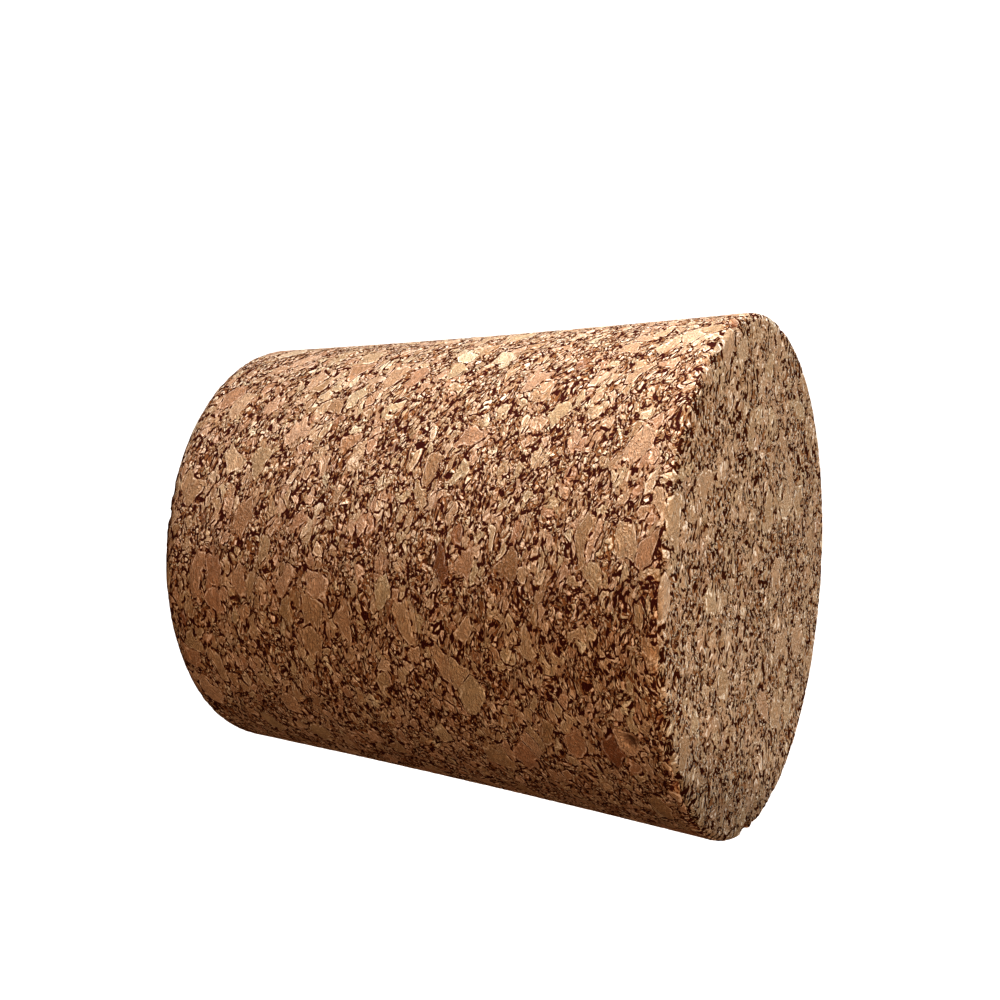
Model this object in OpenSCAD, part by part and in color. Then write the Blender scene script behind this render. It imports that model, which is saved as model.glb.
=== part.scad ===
// Tapered stopper of agglomerated cork: granules pressed and glued into one block, ground to a
// plug and left as one piece. It stands on its small end, with the axis along +Z and the origin
// at the middle of the small end's face. -Y is taken as its front.

/* [Plug] */
// Diameter of the large end, measured to the sharp corner before rounding
head_d = 50; // [30:0.5:80]
// Diameter of the small end, measured to the sharp corner before rounding
foot_d = 41; // [22:0.5:70]
// Length from the small end's face to the large end's face
plug_l = 53.5; // [25:0.5:90]
// How far the ground side dips below a straight taper, halfway along
side_dip = 0.25; // [0:0.05:0.8]

/* [Rims] */
// Rounding radius of the large end's rim
head_rim_r = 0.8; // [0.3:0.1:3]
// Rounding radius of the small end's rim
foot_rim_r = 1.4; // [0.3:0.1:3]

/* [Pores] */
// Number of large open pores on the side
side_pores = 36; // [0:1:120]
// Number of large open pores on the large end's face
head_pores = 12; // [0:1:50]
// Number of large open pores on the small end's face
foot_pores = 8; // [0:1:50]
// Radius of the largest pore
pore_r = 0.75; // [0.3:0.05:1.2]
// Depth of the largest pore
pore_depth = 0.55; // [0.1:0.05:0.9]

/* [Worn rims] */
// Number of granules that have crumbled out of the large end's rim
head_nicks = 18; // [0:1:50]
// Number of granules that have crumbled out of the small end's rim
foot_nicks = 9; // [0:1:40]
// Radius of the largest nick
nick_r = 1.1; // [0.4:0.05:2]
// How deep the largest nick bites below the rounded rim
nick_depth = 0.45; // [0.1:0.05:1]
// Radius of the largest chip knocked off the large end's rim
chip_r = 2.4; // [1:0.1:4]
// How deep the largest chip bites below the rounded rim
chip_depth = 0.7; // [0.2:0.05:1.5]

/* [Hidden] */

head_r = head_d / 2;
foot_r = foot_d / 2;

// Smoothness of the revolved plug, and of each pit in it.
plug_fn = 96;
pit_fn = 14;

// Straight steps that make up the dipped side, and each rounded rim.
side_steps = 6;
rim_steps = 3;

// Pores keep this far from the rims, along the side and across the end faces.
pore_margin = 1.5;

// The smallest pore or nick, as a share of the largest.
smallest_share = 0.55;

// The large chips: [direction round the axis, size as a share of the largest].
CHIPS = [[8, 1], [170, 0.6], [203, 0.75], [222, 0.5], [292, 0.55], [318, 0.6]];

// Steps of an even but patternless spread, from the roots of x^3 = x + 1 and x^2 = x + 1.
plastic = 1.324717957;
golden = 1.618033989;

function fraction(x) = x - floor(x);

// Two shares from 0 to 1 that place copy i of a spread, and one that sizes it.
function first_place(i) = fraction((i + 1) / plastic);
function second_place(i) = fraction((i + 1) / pow(plastic, 2));
function size_share(i) = smallest_share + (1 - smallest_share) * fraction((i + 1) * golden);

// Radius of the side at height z: a straight taper, less a shallow parabola.
function side_r(z) =
    let (t = z / plug_l)
    foot_r + (head_r - foot_r) * t - 4 * side_dip * t * (1 - t);

// Points of a rounded rim, as its angle goes from one value to another. Each point is set in
// from the side at its own height, so the round meets the side without a step.
function rim_points(rim_r, centre_z, from, to) =
    [for (i = [0 : rim_steps])
        let (a = from + (to - from) * i / rim_steps, z = centre_z + rim_r * sin(a))
        [side_r(z) - rim_r * (1 - cos(a)), z]];

function side_points() =
    let (low = foot_rim_r, high = plug_l - head_rim_r)
    [for (i = [1 : side_steps - 1])
        let (z = low + (high - low) * i / side_steps)
        [side_r(z), z]];

module plug() {
    rotate_extrude($fn = plug_fn)
        polygon(concat(
            [[0, 0]],
            rim_points(foot_rim_r, foot_rim_r, -90, 0),
            side_points(),
            rim_points(head_rim_r, plug_l - head_rim_r, 0, 90),
            [[0, plug_l]]
        ));
}

// A round hollow of this radius, sunk to its depth below the local XY plane.
module pit(radius, depth) {
    translate([0, 0, radius - depth]) sphere(r = radius, $fn = pit_fn);
}

module pores_on_side() {
    span = plug_l - head_rim_r - foot_rim_r - 2 * pore_margin;
    for (i = [0 : 1 : side_pores - 1]) {
        z = foot_rim_r + pore_margin + span * second_place(i);
        rotate([0, 0, 360 * first_place(i)])
            translate([side_r(z), 0, z])
                rotate([0, 90, 0])
                    pit(pore_r * size_share(i), pore_depth * size_share(i));
    }
}

// Pores on a flat end, whose face looks along the local +Z.
module pores_on_end(count, end_r, rim_r) {
    for (i = [0 : 1 : count - 1])
        rotate([0, 0, 360 * fraction((i + 1) * golden)])
            translate([(end_r - rim_r - pore_margin) * sqrt((i + 0.5) / count), 0, 0])
                pit(pore_r * size_share(i), pore_depth * size_share(i));
}

// One spot lost from the rounded rim of an end whose face looks along the local +Z. It bites
// in along the rim's own 45 degree line.
module rim_bite(angle, end_r, rim_r, radius, depth) {
    inset = rim_r * (1 - cos(45));
    rotate([0, 0, angle])
        translate([end_r - inset, 0, -inset])
            rotate([0, 45, 0])
                pit(radius, depth);
}

module nicks_on_rim(count, end_r, rim_r) {
    for (i = [0 : 1 : count - 1])
        rim_bite(360 * first_place(i), end_r, rim_r,
            nick_r * size_share(i), nick_depth * size_share(i));
}

module chips_on_rim(end_r, rim_r) {
    for (chip = CHIPS)
        rim_bite(chip[0], end_r, rim_r, chip_r * chip[1], chip_depth * chip[1]);
}

// Moves an end's hollows, drawn under a face that looks along +Z, to the plug's own end.
module at_head() {
    translate([0, 0, plug_l]) children();
}

module at_foot() {
    rotate([180, 0, 0]) children();
}

module stopper() {
    color("peru")
        difference() {
            plug();
            pores_on_side();
            at_head() {
                pores_on_end(head_pores, head_r, head_rim_r);
                nicks_on_rim(head_nicks, head_r, head_rim_r);
                chips_on_rim(head_r, head_rim_r);
            }
            at_foot() {
                pores_on_end(foot_pores, foot_r, foot_rim_r);
                nicks_on_rim(foot_nicks, foot_r, foot_rim_r);
            }
        }
}

stopper();
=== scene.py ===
# %% [markdown]
# # A tapered cork stopper
# The real stopper is one piece. Cork bark is chopped into granules of one to four millimetres,
# the granules are pressed in a block with a little glue, and the plug is ground out of the block.
# Pressing flattens the granules along the axis, so they look long round the side and plump on
# the ends. This lesson dresses the solid plug with a skin that has those granules, in shape and
# in colour. Everything is in metres, in the same frame as the solid: the small end stands on the
# floor at the origin, and the axis is +Z.

# %% Load the solid plug
from math import radians

import bmesh
import bpy
import numpy as np
from mathutils import Matrix, Vector


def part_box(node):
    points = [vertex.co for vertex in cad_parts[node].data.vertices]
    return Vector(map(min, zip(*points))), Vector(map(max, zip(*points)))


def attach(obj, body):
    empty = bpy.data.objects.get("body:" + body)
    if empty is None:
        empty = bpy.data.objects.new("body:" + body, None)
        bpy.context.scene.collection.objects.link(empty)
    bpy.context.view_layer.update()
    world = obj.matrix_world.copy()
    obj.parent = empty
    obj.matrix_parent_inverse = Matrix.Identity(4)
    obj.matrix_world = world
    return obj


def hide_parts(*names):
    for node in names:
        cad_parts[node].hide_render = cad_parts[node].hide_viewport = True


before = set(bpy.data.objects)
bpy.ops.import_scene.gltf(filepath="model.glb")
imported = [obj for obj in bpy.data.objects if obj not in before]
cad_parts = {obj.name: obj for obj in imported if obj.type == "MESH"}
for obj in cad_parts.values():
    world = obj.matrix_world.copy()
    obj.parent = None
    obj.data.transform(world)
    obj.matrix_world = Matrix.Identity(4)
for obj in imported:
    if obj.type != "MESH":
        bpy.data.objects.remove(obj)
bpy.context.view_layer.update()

MM = 1000.0               # millimetres in a metre
low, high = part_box("stopper")
plug_length = high.z - low.z
head_radius = high.x
plug_middle = Vector((0, 0, plug_length / 2))
print("plug", round(plug_length * MM, 2), "mm long, head radius", round(head_radius * MM, 2), "mm")

# %% [markdown]
# ## The camera
# It looks at the plug from the side and a little from the head end, and it is rolled until the
# axis lies across the picture with the head on the right. A stopper that lies on a table is seen
# like this, but a round one would roll away, so here it stands and the camera is rolled instead.

# %% Camera
camera_away = 0.1610      # from the axis, on the -Y side
camera_height = 0.1035    # above the floor
aim_aside = -0.0059       # the camera looks past the axis by this much
aim_height = 0.0264
camera_roll = radians(93.3)
lens_mm = 63.4
film_mm = 36

camera_place = Vector((0, -camera_away, camera_height))
view_line = Vector((aim_aside, 0, aim_height)) - camera_place
upright = view_line.to_track_quat("-Z", "Y").to_matrix()
rolled = upright @ Matrix.Rotation(camera_roll, 3, "Z")
bpy.ops.object.camera_add(location=camera_place, rotation=rolled.to_euler())
camera = bpy.context.object
camera.name = "camera"
camera.data.lens = lens_mm
camera.data.sensor_width = film_mm
camera.data.clip_start = 0.01
bpy.context.scene.camera = camera
print("camera is", round(view_line.length * MM), "mm from what it looks at")

# %% [markdown]
# ## The studio
# The floor is plain and pale. A view at a low angle looks past its edge, so a white wall stands
# all round. It is a big sphere that shines by itself, and only the camera sees it: the plug's
# light comes from the lamps and the room, and neither floor nor wall throws any back at it.

# %% Floor and wall
floor_reach = 8.0
wall_reach = floor_reach * 0.35
floor_grey = (0.93, 0.93, 0.93, 1)

bpy.ops.object.select_all(action="DESELECT")
bpy.ops.mesh.primitive_plane_add(size=floor_reach)
floor = bpy.context.object
floor.name = "floor"
floor_paint = bpy.data.materials.new("floor_paint")
floor_paint.use_nodes = True
floor_shader = floor_paint.node_tree.nodes["Principled BSDF"]
floor_shader.inputs["Base Color"].default_value = floor_grey
floor_shader.inputs["Roughness"].default_value = 0.9
floor_shader.inputs["Specular IOR Level"].default_value = 0.1
floor.data.materials.append(floor_paint)
floor.visible_diffuse = False

bpy.ops.mesh.primitive_uv_sphere_add(radius=wall_reach)
wall = bpy.context.object
wall.name = "wall"
wall_paint = bpy.data.materials.new("wall_paint")
wall_paint.use_nodes = True
wall_shader = wall_paint.node_tree.nodes["Principled BSDF"]
wall_shader.inputs["Base Color"].default_value = (0, 0, 0, 1)
wall_shader.inputs["Emission Color"].default_value = (1, 1, 1, 1)
wall_shader.inputs["Emission Strength"].default_value = 1.0
wall_paint.cycles.emission_sampling = "NONE"
wall.data.materials.append(wall_paint)
wall.visible_diffuse = False
wall.visible_glossy = False
wall.visible_shadow = False
print("floor", floor_reach, "m across, wall", wall_reach, "m away")

# %% [markdown]
# ## The light
# Light gets its direction from one lamp, so the side falls from cream to brown round the plug. It
# is small and close, on the -X side. A wide cool lamp from behind catches the same edge and greys
# the head, a warm one in front fills the middle, and another behind keeps the far side readable.
# The room's own light is dim and warm. The floor has a sun of its own, for an even, bright white.

# %% Lamps and room
sun_height = 0.9
sun_strength = 4.5
room_colour = (1.0, 0.53, 0.29, 1)
room_strength = 0.28


def soft_lamp(name, place, size, watts, colour):
    """A square lamp at a place, turned to face the middle of the plug."""
    facing = (plug_middle - Vector(place)).to_track_quat("-Z", "Y")
    bpy.ops.object.light_add(type="AREA", location=place, rotation=facing.to_euler())
    lamp = bpy.context.object
    lamp.name = name
    lamp.data.shape = "SQUARE"
    lamp.data.size = size
    lamp.data.energy = watts
    lamp.data.color = colour
    lamp.visible_camera = False
    return lamp


cork_lamps = (
    soft_lamp("side_lamp", (-0.084, -0.040, 0.048), 0.03, 0.206, (0.90, 0.94, 0.96)),
    soft_lamp("rim_lamp", (-0.40, 0.45, 0.30), 0.40, 6.5, (0.70, 0.92, 1.06)),
    soft_lamp("front_lamp", (-0.05, -0.20, 0.25), 0.15, 1.12, (1.0, 0.73, 0.48)),
    soft_lamp("back_lamp", (0.12, 0.50, 0.04), 0.30, 2.2, (1.0, 0.80, 0.58)),
)
bpy.ops.object.light_add(type="SUN", location=(0, 0, sun_height))
floor_lamp = bpy.context.object
floor_lamp.name = "floor_lamp"
floor_lamp.data.energy = sun_strength

room = bpy.data.worlds.new("room")
room.use_nodes = True
room_light = room.node_tree.nodes["Background"]
room_light.inputs["Color"].default_value = room_colour
room_light.inputs["Strength"].default_value = room_strength
bpy.context.scene.world = room
bpy.context.scene.view_settings.view_transform = "Standard"
bpy.context.scene.cycles.max_bounces = 3
bpy.context.scene.cycles.diffuse_bounces = 2
bpy.context.scene.cycles.glossy_bounces = 1
print(len(cork_lamps), "lamps for the cork, and one for the floor")

# %% [markdown]
# ## The skin
# The plug is turned from a plain cylinder: the head is widened to make the taper, and both rims
# are rounded. A voxel remesh then covers it with small even squares, fine enough to carry the
# relief of single granules, and a shrinkwrap lays them on the solid, so each chip and pore of the
# solid is in the skin. A remesh has no poles, which a lathed mesh would have in both end faces.

# %% Turn the blank
foot_radius = 0.0205
rim_round = 0.0009
round_sides = 160
rim_steps = 3
proud = 0.00012           # the blank starts this much outside the solid

bpy.ops.object.select_all(action="DESELECT")
bpy.ops.mesh.primitive_cylinder_add(
    vertices=round_sides, radius=foot_radius + proud, depth=plug_length + 2 * proud,
    location=plug_middle)
cork = bpy.context.object
cork.name = "cork_body"


def pick_edges(mesh, test):
    """Selects the edges whose two ends both pass the test."""
    bpy.ops.mesh.select_all(action="DESELECT")
    for vert in mesh.verts:
        vert.select = test(vert.co)
    mesh.select_flush(True)


bpy.ops.object.transform_apply(location=True, rotation=True, scale=True)
bpy.ops.object.mode_set(mode="EDIT")
pick_edges(bmesh.from_edit_mesh(cork.data), lambda co: co.z > plug_length / 2)
widen = (head_radius + proud) / (foot_radius + proud)
bpy.ops.transform.resize(value=(widen, widen, 1), center_override=(0, 0, plug_length))
for rim_height in (0, plug_length):
    pick_edges(bmesh.from_edit_mesh(cork.data),
               lambda co: abs(co.z - rim_height) < rim_round / 2)
    bpy.ops.mesh.bevel(offset=rim_round, segments=rim_steps, affect="EDGES")
bpy.ops.object.mode_set(mode="OBJECT")
print("blank", [round(side * MM, 2) for side in cork.dimensions], "mm")

# %% [markdown]
# ## Onto the solid
# How far each point falls to reach the solid says where a chip or a pore is: the smooth part of
# the fall is known, and what is left is hollow. It is kept in the mesh as the attribute "hollow",
# and the finish later darkens those places: painted shade in the hollows, and partly torn cork
# showing its inside.

# %% Lay the skin on the solid
side_dip = 0.00025        # the ground side dips by this halfway along
skin_step = 0.00038       # side of one square of the skin
farthest = 0.002          # no chip is deeper than this


def apply_modifier(piece, kind, **settings):
    """Adds one modifier to the piece, sets it and applies it."""
    bpy.context.view_layer.objects.active = piece
    bpy.ops.object.modifier_add(type=kind)
    modifier = piece.modifiers[-1]
    for name, value in settings.items():
        setattr(modifier, name, value)
    bpy.ops.object.modifier_apply(modifier=modifier.name)


def points_of(piece):
    """The piece's points as an array, one row each."""
    flat_list = np.zeros(len(piece.data.vertices) * 3, np.float32)
    piece.data.vertices.foreach_get("co", flat_list)
    return flat_list.reshape(-1, 3)


apply_modifier(cork, "REMESH", mode="VOXEL", voxel_size=skin_step, adaptivity=0)
before = points_of(cork)
apply_modifier(cork, "SHRINKWRAP", target=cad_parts["stopper"], wrap_method="PROJECT",
               use_negative_direction=True, use_positive_direction=True, project_limit=farthest)
bpy.ops.object.shade_smooth()
along = before[:, 2] / plug_length
smooth_fall = proud + 4 * side_dip * along * (1 - along)
fall = (np.linalg.norm(points_of(cork) - before, axis=1) - smooth_fall) * MM
hollow = cork.data.attributes.new("hollow", "FLOAT", "POINT")
hollow.data.foreach_set("value", fall.astype(np.float32))
print("skin", len(cork.data.polygons), "squares, deepest chip", round(float(fall.max()), 2), "mm")

# %% [markdown]
# ## Node helpers
# The same pattern has to drive the relief of the mesh and the colours of the shader, or a dark
# joint would miss its groove. Both kinds of node tree know the same textures, so one function
# builds the pattern in either. These helpers add a node, join it up and hand back its output.

# %% Small helpers for node trees
def feed(tree, socket, value):
    """Links a socket to the value, or writes the value into it."""
    if isinstance(value, bpy.types.NodeSocket):
        tree.links.new(value, socket)
    else:
        socket.default_value = value


def math(tree, operation, *values):
    """One sum on plain numbers."""
    node = tree.nodes.new("ShaderNodeMath")
    node.operation = operation
    for socket, value in zip(node.inputs, values):
        feed(tree, socket, value)
    return node.outputs[0]


def vector_math(tree, operation, *values):
    """One sum on vectors or colours. A product with a dot or a length gives a plain number."""
    node = tree.nodes.new("ShaderNodeVectorMath")
    node.operation = operation
    for socket, value in zip(node.inputs, values):
        feed(tree, socket, value)
    return node.outputs[1 if operation in ("DOT_PRODUCT", "LENGTH") else 0]


def joined(tree, *values):
    """Three numbers as one vector."""
    node = tree.nodes.new("ShaderNodeCombineXYZ")
    for socket, value in zip(node.inputs, values):
        feed(tree, socket, value)
    return node.outputs[0]


def split(tree, vector):
    """One vector as three numbers."""
    node = tree.nodes.new("ShaderNodeSeparateXYZ")
    feed(tree, node.inputs[0], vector)
    return node.outputs


def blend(tree, share, first, second, kind="FLOAT"):
    """First where share is 0, second where it is 1."""
    places = {"FLOAT": (0, 2, 3, 0), "VECTOR": (0, 4, 5, 1), "RGBA": (0, 6, 7, 2)}[kind]
    node = tree.nodes.new("ShaderNodeMix")
    node.data_type = kind
    for place, value in zip(places, (share, first, second)):
        feed(tree, node.inputs[place], value)
    return node.outputs[places[3]]


def ramp(tree, value, start, end, to_start=0.0, to_end=1.0):
    """A smooth step from one value to another as the input goes from start to end."""
    node = tree.nodes.new("ShaderNodeMapRange")
    node.interpolation_type = "SMOOTHSTEP"
    for socket, number in zip(node.inputs, (value, start, end, to_start, to_end)):
        feed(tree, socket, number)
    return node.outputs[0]


def stored(tree, name, output="Vector"):
    """What the mesh stores under this name."""
    node = tree.nodes.new("ShaderNodeAttribute")
    node.attribute_name = name
    return node.outputs[output]


print("helpers for node trees are ready")

# %% [markdown]
# ## Noise and cells
# Two textures make all of the pattern. Noise has soft blobs, for what wanders. Voronoi cells have
# straight sides that fit together with nothing between, as pressed granules do.

# %% Noise and cells
noise_roughness = 0.6


def noise(tree, place, size_mm, detail=2.0, colour=False):
    """Soft noise whose blobs are about size_mm across. The value swings round 0.5."""
    node = tree.nodes.new("ShaderNodeTexNoise")
    feed(tree, node.inputs["Vector"], place)
    node.inputs["Scale"].default_value = 1 / size_mm
    node.inputs["Detail"].default_value = detail
    node.inputs["Roughness"].default_value = noise_roughness
    return node.outputs["Color" if colour else "Fac"]


def cells(tree, place, size_mm):
    """Granules about size_mm across: three random shares for each, and the way to its edge."""
    tint = tree.nodes.new("ShaderNodeTexVoronoi")
    edge = tree.nodes.new("ShaderNodeTexVoronoi")
    edge.feature = "DISTANCE_TO_EDGE"
    for node in (tint, edge):
        feed(tree, node.inputs["Vector"], place)
        node.inputs["Scale"].default_value = 1 / size_mm
    return tint.outputs["Color"], math(tree, "MULTIPLY", edge.outputs["Distance"], size_mm)


print("textures are noise of roughness", noise_roughness, "and straight-sided cells")

# %% [markdown]
# ## Where on the plug
# The pattern fills the block that the plug is cut from, and the plug only shows where it was cut.
# Space is stretched along the axis first, so cells that are even in it come out flat on the plug,
# a little out of level, as in a real block. Two pushes by noise, a wide one and a narrow one,
# take the straightness out of their sides. The head's cut end is told apart by its height alone.

# %% Where on the plug
lean = (0.10, -0.16)                 # the flat granules slope this much, along X and Y
flatness = 0.62                      # height of a granule over its width
heap_shift = (0.011, 0.004, 0.007)   # which spot of the block the plug is cut from
pushes = ((5.0, 3.0), (1.8, 1.2))    # size of the noise in mm, and how far it pushes
face_skin = 0.0004                   # the cut end starts this far below its face
rim_width = (0.0016, 0.0006)         # the rim starts and is full this far in from the edge
rim_depth = (0.0014, 0.0004)         # the same, down from the face


def in_block(tree, place):
    """The place in mm in the block, stretched and pushed about."""
    heap = vector_math(tree, "ADD", place, heap_shift)
    tall = vector_math(tree, "DOT_PRODUCT", heap, (*lean, 1))
    across = vector_math(tree, "MULTIPLY", heap, (MM, MM, 0))
    upward = joined(tree, 0, 0, math(tree, "MULTIPLY", tall, MM / flatness))
    block = vector_math(tree, "ADD", across, upward)
    for size, reach in pushes:
        wander = noise(tree, block, size, colour=True)
        push = vector_math(tree, "SUBTRACT", wander, (0.5, 0.5, 0.5))
        push = vector_math(tree, "MULTIPLY", push, (reach, reach, reach))
        block = vector_math(tree, "ADD", block, push)
    return block


def regions(tree, place):
    """Shares of the head's cut end, soft and hard at its border, and of its rim."""
    height = split(tree, place)[2]
    cut_end = ramp(tree, height, plug_length - face_skin, plug_length - face_skin / 2)
    on_end = math(tree, "GREATER_THAN", height, plug_length - face_skin * 0.75)
    across = vector_math(tree, "LENGTH", vector_math(tree, "MULTIPLY", place, (1, 1, 0)))
    rim = math(tree, "MULTIPLY",
               ramp(tree, across, *[head_radius - width for width in rim_width]),
               ramp(tree, height, *[plug_length - depth for depth in rim_depth]))
    return cut_end, on_end, rim


def by_end(tree, cut_end, side, end):
    """One number for the side, another for the cut end."""
    return ramp(tree, cut_end, 0, 1, side, end)


def scaled(tree, block, scale):
    """The place in the block, with all three lengths scaled."""
    return vector_math(tree, "MULTIPLY", block, joined(tree, scale, scale, scale))


print("granules are", flatness, "as high as they are wide")

# %% [markdown]
# ## The granules
# A heap of chopped cork has all sizes, and one grid of cells would look too even. Three sizes of
# cell are nested instead: each coarse cell is either kept whole or broken into middle ones, and
# those are kept whole or broken into crumbs. From here on, a pair of numbers is for the side and
# for the cut end, where the flat granules are seen from above, unless a comment says otherwise.

# %% Nested granules
crumb_mm = 0.90
granule_sizes = ((1.70, 0.42), (3.3, 0.17))   # size in mm, and the share kept whole
cell_scale = (1.15, 1.0)          # the higher, the smaller the granules
more_whole = (1.0, 1.1)           # the shares kept whole are multiplied by this
edge_scale = (1.0, 0.7)           # and the ways to the edges by this, which widens the joints


def nested(tree, block, cut_end, on_end):
    """Three random shares for each granule, the way to its edge in mm, and 1 in crumbs."""
    block = scaled(tree, block, blend(tree, on_end, *cell_scale))
    chance, edge = cells(tree, block, crumb_mm)
    crumb = 1.0
    for size, whole_share in granule_sizes:
        coarse_chance, coarse_edge = cells(tree, block, size)
        share = math(tree, "MULTIPLY", whole_share, by_end(tree, cut_end, *more_whole))
        whole = math(tree, "LESS_THAN", split(tree, coarse_chance)[0], share)
        edge = blend(tree, whole, math(tree, "MINIMUM", edge, coarse_edge), coarse_edge)
        chance = blend(tree, whole, chance, coarse_chance, "VECTOR")
        crumb = blend(tree, whole, crumb, 0.0)
    edge = math(tree, "MULTIPLY", edge, by_end(tree, cut_end, *edge_scale))
    return block, chance, edge, crumb


print("crumbs about", crumb_mm, "mm across, granules up to", granule_sizes[-1][0], "mm")

# %% [markdown]
# ## Joints and pits
# Where granules are pressed well together, no joint shows. Elsewhere bark and glue darken it, and
# where a crumb has dropped out it widens to a pit. One noise, the openness, decides which. Beside
# an open joint the granule's broken edge gets a pale lip, a painted highlight in the colour only.

# %% Joints, pits and lips
open_mm = 0.64                    # size of a spot of open joints
open_detail = 1.0
mark_scale = (1.10, 1.15)
rim_opens = 0.06                  # added to the openness at the head's rim
end_closes = 0.060                # taken from it on the cut end
granule_closes = (0.026, 0.018)   # taken from it in whole granules, and in crumbs
joint_from = 0.45                 # openness where a joint starts to darken
joint_full = (0.53, 0.47)         # openness where it is quite dark
joint_least = (0.05, 0.0)         # darkness of a closed joint
joint_half = (0.108, 0.125)       # mm from the middle of a joint to its side
joint_fade = (0.075, 0.02)        # mm that its side fades, outwards and inwards
pit_from = 0.585                  # openness where pits start
pit_full = 0.78
pit_none = -0.05                  # mm, less than nothing, so that no pit shows
pit_half = (0.055, 0.010)         # mm from an edge to the side of the widest pit
pit_fade = (0.04, -0.01)          # mm beyond that side where the pit starts and is full
highlight_near = (0.045, 0.085)         # mm beyond the joint where its painted highlight starts and is full
highlight_far = (0.26, 0.16)            # the same, from the other side
highlight_in = (0.85, 1.0)          # strength of the painted highlight in whole granules, and in crumbs


def open_joints(tree, block, edge, crumb, cut_end, on_end, rim):
    """The openness, and shares of dark joint, pit and pale lip, a painted highlight."""
    marks = scaled(tree, block, blend(tree, on_end, *mark_scale))
    openness = noise(tree, marks, open_mm, open_detail)
    openness = math(tree, "ADD", openness, math(tree, "MULTIPLY", rim, rim_opens))
    openness = math(tree, "SUBTRACT", openness, math(tree, "MULTIPLY", cut_end, end_closes))
    openness = math(tree, "SUBTRACT", openness, blend(tree, crumb, *granule_closes))

    strength = ramp(tree, openness, joint_from, by_end(tree, cut_end, *joint_full),
                    by_end(tree, cut_end, *joint_least), 1.0)
    half = by_end(tree, cut_end, *joint_half)
    outer = math(tree, "ADD", half, joint_fade[0])
    inner = math(tree, "SUBTRACT", half, joint_fade[1])
    line = math(tree, "MULTIPLY", ramp(tree, edge, outer, inner), strength)

    width = ramp(tree, openness, pit_from, pit_full, pit_none, by_end(tree, cut_end, *pit_half))
    gap = ramp(tree, math(tree, "SUBTRACT", edge, width), *pit_fade)

    # The pale lip beside the joint is a painted highlight.
    beyond = math(tree, "SUBTRACT", edge, half)
    lip_highlight = math(tree, "MULTIPLY", ramp(tree, beyond, *highlight_near), ramp(tree, beyond, *highlight_far))
    lip_highlight = math(tree, "MULTIPLY", lip_highlight, strength)
    lip_highlight = math(tree, "MULTIPLY", lip_highlight, blend(tree, crumb, *highlight_in))
    return marks, openness, line, gap, lip_highlight


# %% [markdown]
# ## Wavy marks
# Cork splits along its own growth lines, so short wavy cracks run through it, most of all among
# crumbs. They follow the middle of a noise, where it crosses 0.5, and each has a painted highlight
# beside it too. Its bank, the slope on both sides, goes to the bump.

# %% Wavy marks
swirl_mm = 1.00
swirl_detail = 1.5
swirl_squash = (1.0, 1.0, 1.1)
closed_from = 0.52                # openness under which the marks begin
closed_full = 0.42
mark_strength = (0.6, 0.45)
mark_in = (0.35, 1.0)             # in whole granules, and in crumbs
stroke_side = (0.054, 0.036)      # how far off 0.5 a stroke starts and is full
stroke_highlight_near = (0.045, 0.065)      # the same for its painted highlight, from the stroke's side
stroke_highlight_far = (0.14, 0.09)         # and from the other side
bank_side = (0.02, 0.09)          # the same for its bank


def wavy_marks(tree, marks, openness, crumb, cut_end):
    """Shares of dark stroke, pale lip beside it, and bank."""
    swirl = noise(tree, vector_math(tree, "MULTIPLY", marks, swirl_squash), swirl_mm, swirl_detail)
    swirl = math(tree, "ABSOLUTE", math(tree, "SUBTRACT", swirl, 0.5))
    closed = ramp(tree, openness, closed_from, closed_full)
    closed = math(tree, "MULTIPLY", closed, by_end(tree, cut_end, *mark_strength))
    where = math(tree, "MULTIPLY", closed, blend(tree, crumb, *mark_in))
    stroke = math(tree, "MULTIPLY", ramp(tree, swirl, *stroke_side), where)
    # The pale lip beside each stroke is a painted highlight.
    stroke_highlight = math(tree, "MULTIPLY", ramp(tree, swirl, *stroke_highlight_near), ramp(tree, swirl, *stroke_highlight_far))
    stroke_highlight = math(tree, "MULTIPLY", stroke_highlight, where)
    bank = math(tree, "MULTIPLY", ramp(tree, swirl, *bank_side), where)
    return stroke, stroke_highlight, bank


def granules(tree, place, block):
    """The whole pattern at a place in metres and in the block, as sockets by name."""
    cut_end, on_end, rim = regions(tree, place)
    flat, chance, edge, crumb = nested(tree, block, cut_end, on_end)
    marks, openness, line, gap, lip_highlight = open_joints(tree, block, edge, crumb, cut_end, on_end, rim)
    stroke, stroke_highlight, bank = wavy_marks(tree, marks, openness, crumb, cut_end)
    return {"cut_end": cut_end, "rim": rim, "flat": flat, "chance": chance, "crumb": crumb,
            "line": math(tree, "MAXIMUM", line, stroke), "gap": gap,
            "lip_highlight": math(tree, "MAXIMUM", lip_highlight, stroke_highlight), "bank": bank}


print("wavy marks about", swirl_mm, "mm long, where the openness is under", closed_from)

# %% [markdown]
# ## The relief
# A geometry-nodes modifier sinks the skin: whole granules by a hair, each by its own amount, joints
# and pits deeper, and most of all at the head's rim, which crumbles. It only sinks, so the skin
# stays inside the solid's box. The place of each point before it moves is kept in the mesh, as is
# its place in the block, so that the colours line up with the relief.

# %% Sink joints and pits into the skin
uneven_mm = 0.03
joint_mm = 0.04
pit_mm = 0.05
rim_pit_mm = 0.22

relief = bpy.data.node_groups.new("relief", "GeometryNodeTree")
relief.interface.new_socket("Geometry", in_out="INPUT", socket_type="NodeSocketGeometry")
relief.interface.new_socket("Geometry", in_out="OUTPUT", socket_type="NodeSocketGeometry")
enter = relief.nodes.new("NodeGroupInput")
leave = relief.nodes.new("NodeGroupOutput")
position = relief.nodes.new("GeometryNodeInputPosition").outputs[0]
normal = relief.nodes.new("GeometryNodeInputNormal").outputs[0]
block = in_block(relief, position)
pattern = granules(relief, position, block)


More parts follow.
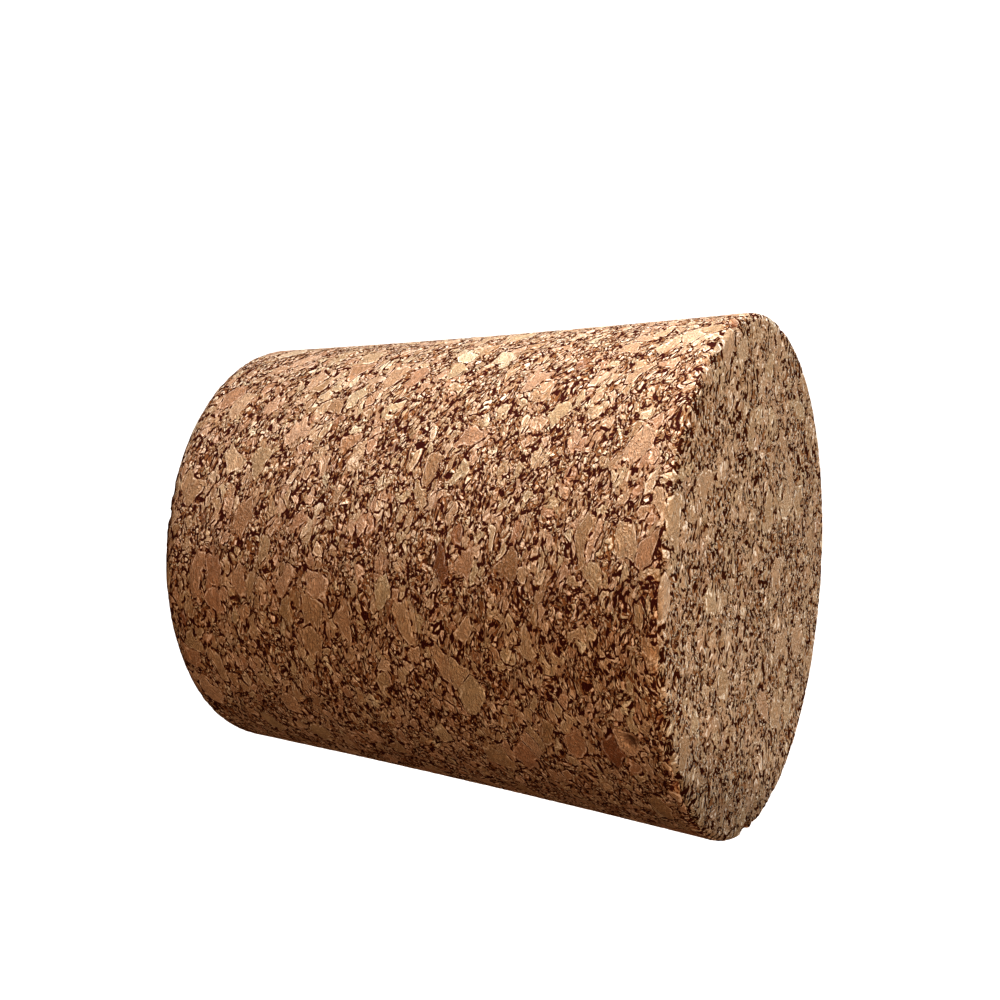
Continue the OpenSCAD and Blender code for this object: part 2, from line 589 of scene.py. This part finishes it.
def store(tree, geometry, name, value):
    """Keeps a vector of each point under this name."""
    node = tree.nodes.new("GeometryNodeStoreNamedAttribute")
    node.data_type = "FLOAT_VECTOR"
    node.inputs["Name"].default_value = name
    feed(tree, node.inputs["Value"], value)
    feed(tree, node.inputs["Geometry"], geometry)
    return node.outputs["Geometry"]


sink = math(relief, "MULTIPLY", split(relief, pattern["chance"])[2], uneven_mm)
deep = ramp(relief, pattern["rim"], 0, 1, pit_mm, rim_pit_mm)
sink = math(relief, "ADD", sink, math(relief, "MULTIPLY", pattern["gap"], deep))
sink = math(relief, "ADD", sink, math(relief, "MULTIPLY", pattern["line"], joint_mm))
offset = relief.nodes.new("ShaderNodeVectorMath")
offset.operation = "SCALE"
feed(relief, offset.inputs[0], normal)
feed(relief, offset.inputs["Scale"], math(relief, "DIVIDE", sink, -MM))

skin = store(relief, enter.outputs[0], "place", position)
skin = store(relief, skin, "block", block)
move = relief.nodes.new("GeometryNodeSetPosition")
feed(relief, move.inputs["Geometry"], skin)
feed(relief, move.inputs["Offset"], offset.outputs[0])
feed(relief, leave.inputs[0], move.outputs["Geometry"])
apply_modifier(cork, "NODES", node_group=relief)
print("skin now", [round(side * MM, 2) for side in cork.dimensions], "mm")

# %% [markdown]
# ## Granule colours
# Each granule has its own tan, from dark to cream, leaning to olive or to pink. A few are woody
# bark, dark and reddish. The random shares of the granule pick both, so the colour changes right
# at the joint. On the cut end the tans are closer together.

# %% Granule colours
tan_stops = ((0.00, (0.17, 0.060, 0.025)),
             (0.04, (0.32, 0.170, 0.090)),
             (0.45, (0.37, 0.220, 0.127)),
             (0.90, (0.41, 0.262, 0.157)),
             (1.00, (0.48, 0.335, 0.220)))
even_tan = (0.385, 0.235, 0.138, 1)
evenness = (0.0, 0.6)             # how far the tans close up on this one
olive_or_pink = ((0.1, (0.94, 1.04, 1.02)), (0.9, (1.03, 0.985, 1.03)))
leaning = (1.0, 0.5)              # how far they lean on the side and on the cut end

finish = bpy.data.materials.new("cork_finish")
finish.use_nodes = True
tree = finish.node_tree
shader = tree.nodes["Principled BSDF"]
place = stored(tree, "place")
pattern = granules(tree, place, stored(tree, "block"))
cut_end = pattern["cut_end"]
_, tone_chance, hue_chance = split(tree, pattern["chance"])


def colour_ramp(tree, value, stops):
    """A colour for each value, between the stops."""
    node = tree.nodes.new("ShaderNodeValToRGB")
    feed(tree, node.inputs[0], value)
    while len(node.color_ramp.elements) < len(stops):
        node.color_ramp.elements.new(0.5)
    for element, (spot, colour) in zip(node.color_ramp.elements, stops):
        element.position = spot
        element.color = (*colour, 1)
    return node.outputs[0]


tans = colour_ramp(tree, tone_chance, tan_stops)
cork_colour = blend(tree, by_end(tree, cut_end, *evenness), tans, even_tan, "RGBA")
hues = colour_ramp(tree, hue_chance, olive_or_pink)
hues = blend(tree, by_end(tree, cut_end, *leaning), (1, 1, 1), hues, "VECTOR")
cork_colour = vector_math(tree, "MULTIPLY", cork_colour, hues)
print("tans from", tan_stops[0][1], "to", tan_stops[-1][1])

# %% [markdown]
# ## Streaks and crumbs
# Fine streaks run along the grain inside every granule. Crumbs differ more from each other than
# whole granules do, because bark and clean cork both end up in them. All of that makes the colour
# swing round its tan, together with the painted highlights of the lips. A dark swing is also a
# redder one, so red swings least and blue most.

# %% Streaks and crumbs
streak_squash = (0.7, 0.7, 1.6)
streak_mm = 0.22
streak_swing = (0.3, 0.7)         # nearly all of the noise lies between these
streak_shade = (0.75, 1.25)       # and makes the colour this much darker or lighter
spread_in = (0.16, 0.60)          # in whole granules, and in crumbs
spread_by = (1.0, 0.3)
highlight_lightens = 0.9
crumb_lightens = (0.12, 0.0)
swing_rgb = (0.80, 1.0, 1.25)

streaks = noise(tree, vector_math(tree, "MULTIPLY", pattern["flat"], streak_squash), streak_mm)
shade = ramp(tree, streaks, *streak_swing, *streak_shade)
cork_colour = vector_math(tree, "MULTIPLY", cork_colour, shade)

spread = blend(tree, pattern["crumb"], *spread_in)
spread = math(tree, "MULTIPLY", spread, by_end(tree, cut_end, *spread_by))
swing = math(tree, "MULTIPLY", math(tree, "SUBTRACT", tone_chance, 0.5), spread)
# The painted highlights of the lips lighten the colour here.
swing = math(tree, "ADD", swing, math(tree, "MULTIPLY", pattern["lip_highlight"], highlight_lightens))
swing = math(tree, "MULTIPLY_ADD", pattern["crumb"], by_end(tree, cut_end, *crumb_lightens), swing)
swung = [math(tree, "MULTIPLY_ADD", swing, share, 1.0) for share in swing_rgb]
cork_colour = vector_math(tree, "MULTIPLY", cork_colour, joined(tree, *swung))
print("crumbs swing", round(spread_in[1] / spread_in[0], 1), "times as far as whole granules")

# %% [markdown]
# ## Marks, wear and painted light
# Lips go pale, a painted highlight. Joints and pits go through rust to a near-black brown: bark
# and glue collect there, and in the pits it is also painted shade. The chips and pores of the solid
# are darker with depth, painted shade in the hollows and partly torn cork, though not in each
# granule of them. The head is greyer than the side, in painted cool light. One stretch of its edge
# is darker.

# %% Marks, wear and painted light
highlight_colour = (0.95, 0.86, 0.78, 1)
highlight_share = (0.30, 0.50)
rust = (0.22, 0.085, 0.030, 1)
rust_full = 0.55                  # darkness where a joint is all rust
dark_from = 0.40                  # darkness where rust starts to turn dark
side_dark = (0.030, 0.0054, 0.0040, 1)
end_dark = (0.028, 0.0050, 0.0020, 1)
torn_and_shade_brown = (0.120, 0.042, 0.020, 1)
torn_and_shade_share = 0.55
torn_and_shade_depth = (0.14, 0.24)         # mm deep, where the darkening starts and is full
torn_and_shade_luck = (0.5, 1.5)            # each granule counts its depth as less or more
end_cool_light = (0.800, 0.885, 0.930)
darker_way = (0.985, -0.174, 0)  # the stretch of edge that is darker lies this way
darker_from = (0.014, 0.0225)    # from the axis, where the darkening starts and is full
darker_share = 0.42

# Painted highlight: the lips are blended towards a pale colour.
edge_highlight = math(tree, "MULTIPLY", pattern["lip_highlight"], by_end(tree, cut_end, *highlight_share))
cork_colour = blend(tree, edge_highlight, cork_colour, highlight_colour, "RGBA")
# Pits take the same dark brown as joints. In the pits it is partly painted shade in the recess.
dark = math(tree, "MAXIMUM", pattern["line"], pattern["gap"])
dark_brown = blend(tree, cut_end, side_dark, end_dark, "RGBA")
cork_colour = blend(tree, ramp(tree, dark, 0.0, rust_full), cork_colour, rust, "RGBA")
cork_colour = blend(tree, ramp(tree, dark, dark_from, 1.0), cork_colour, dark_brown, "RGBA")

# Darker with depth in the chips and pores: painted shade in the hollows, partly torn cork.
luck = ramp(tree, hue_chance, 0.0, 1.0, *torn_and_shade_luck)
hollow_depth = math(tree, "MULTIPLY", stored(tree, "hollow", "Fac"), luck)
torn_and_shade = math(tree, "MULTIPLY", ramp(tree, hollow_depth, *torn_and_shade_depth), torn_and_shade_share)
cork_colour = blend(tree, torn_and_shade, cork_colour, torn_and_shade_brown, "RGBA")

# The head's greyer, dimmer tint is painted cool light.
cool_light_tint = blend(tree, cut_end, (1, 1, 1), end_cool_light, "VECTOR")
cork_colour = vector_math(tree, "MULTIPLY", cork_colour, cool_light_tint)
# One stretch of the head's edge is made darker.
towards = vector_math(tree, "DOT_PRODUCT", place, darker_way)
darker_edge = math(tree, "MULTIPLY", ramp(tree, towards, *darker_from), cut_end)
kept_light = math(tree, "SUBTRACT", 1.0, math(tree, "MULTIPLY", darker_edge, darker_share))
cork_colour = vector_math(tree, "MULTIPLY", cork_colour, kept_light)
feed(tree, shader.inputs["Base Color"], cork_colour)
print("joints go through", rust[:3], "to", side_dark[:3])

# %% [markdown]
# ## The surface
# Ground cork is matte and has no shine at all. Streaks and the banks of the wavy marks are too
# fine for the mesh, so they are bump.

# %% Surface
bump_depth = 0.00065
streak_bump = 0.5
matte = (0.75, 0.92)              # roughness of dark streaks and of light ones

height = math(tree, "ADD", math(tree, "MULTIPLY", streaks, streak_bump), pattern["bank"])
bump = tree.nodes.new("ShaderNodeBump")
bump.inputs["Distance"].default_value = bump_depth
feed(tree, bump.inputs["Height"], height)
feed(tree, shader.inputs["Normal"], bump.outputs[0])
feed(tree, shader.inputs["Roughness"], ramp(tree, streaks, *streak_swing, *matte))
shader.inputs["Specular IOR Level"].default_value = 0.0
cork.data.materials.clear()
cork.data.materials.append(finish)
print("finish", finish.name, "with", len(tree.nodes), "nodes")

# %% [markdown]
# ## Share out the lamps
# The lamps are set for a plug that lies down, and the upright plug's shadow would fall where none
# belongs. So each lamp lights only the plug, and the sun only the floor, with the floor alone to
# stop its rays.

# %% Share out the lamps
def light_only(lamp, lit):
    """The lamp lights this one piece."""
    group = bpy.data.collections.new(lamp.name + "_lights")
    group.objects.link(lit)
    lamp.light_linking.receiver_collection = group


for lamp in cork_lamps:
    light_only(lamp, cork)
light_only(floor_lamp, floor)
blockers = bpy.data.collections.new("floor_lamp_blockers")
blockers.objects.link(floor)
floor_lamp.light_linking.blocker_collection = blockers
print("lamps shared out")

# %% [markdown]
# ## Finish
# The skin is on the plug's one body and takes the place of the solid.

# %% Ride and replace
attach(cork, "root")
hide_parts("stopper")
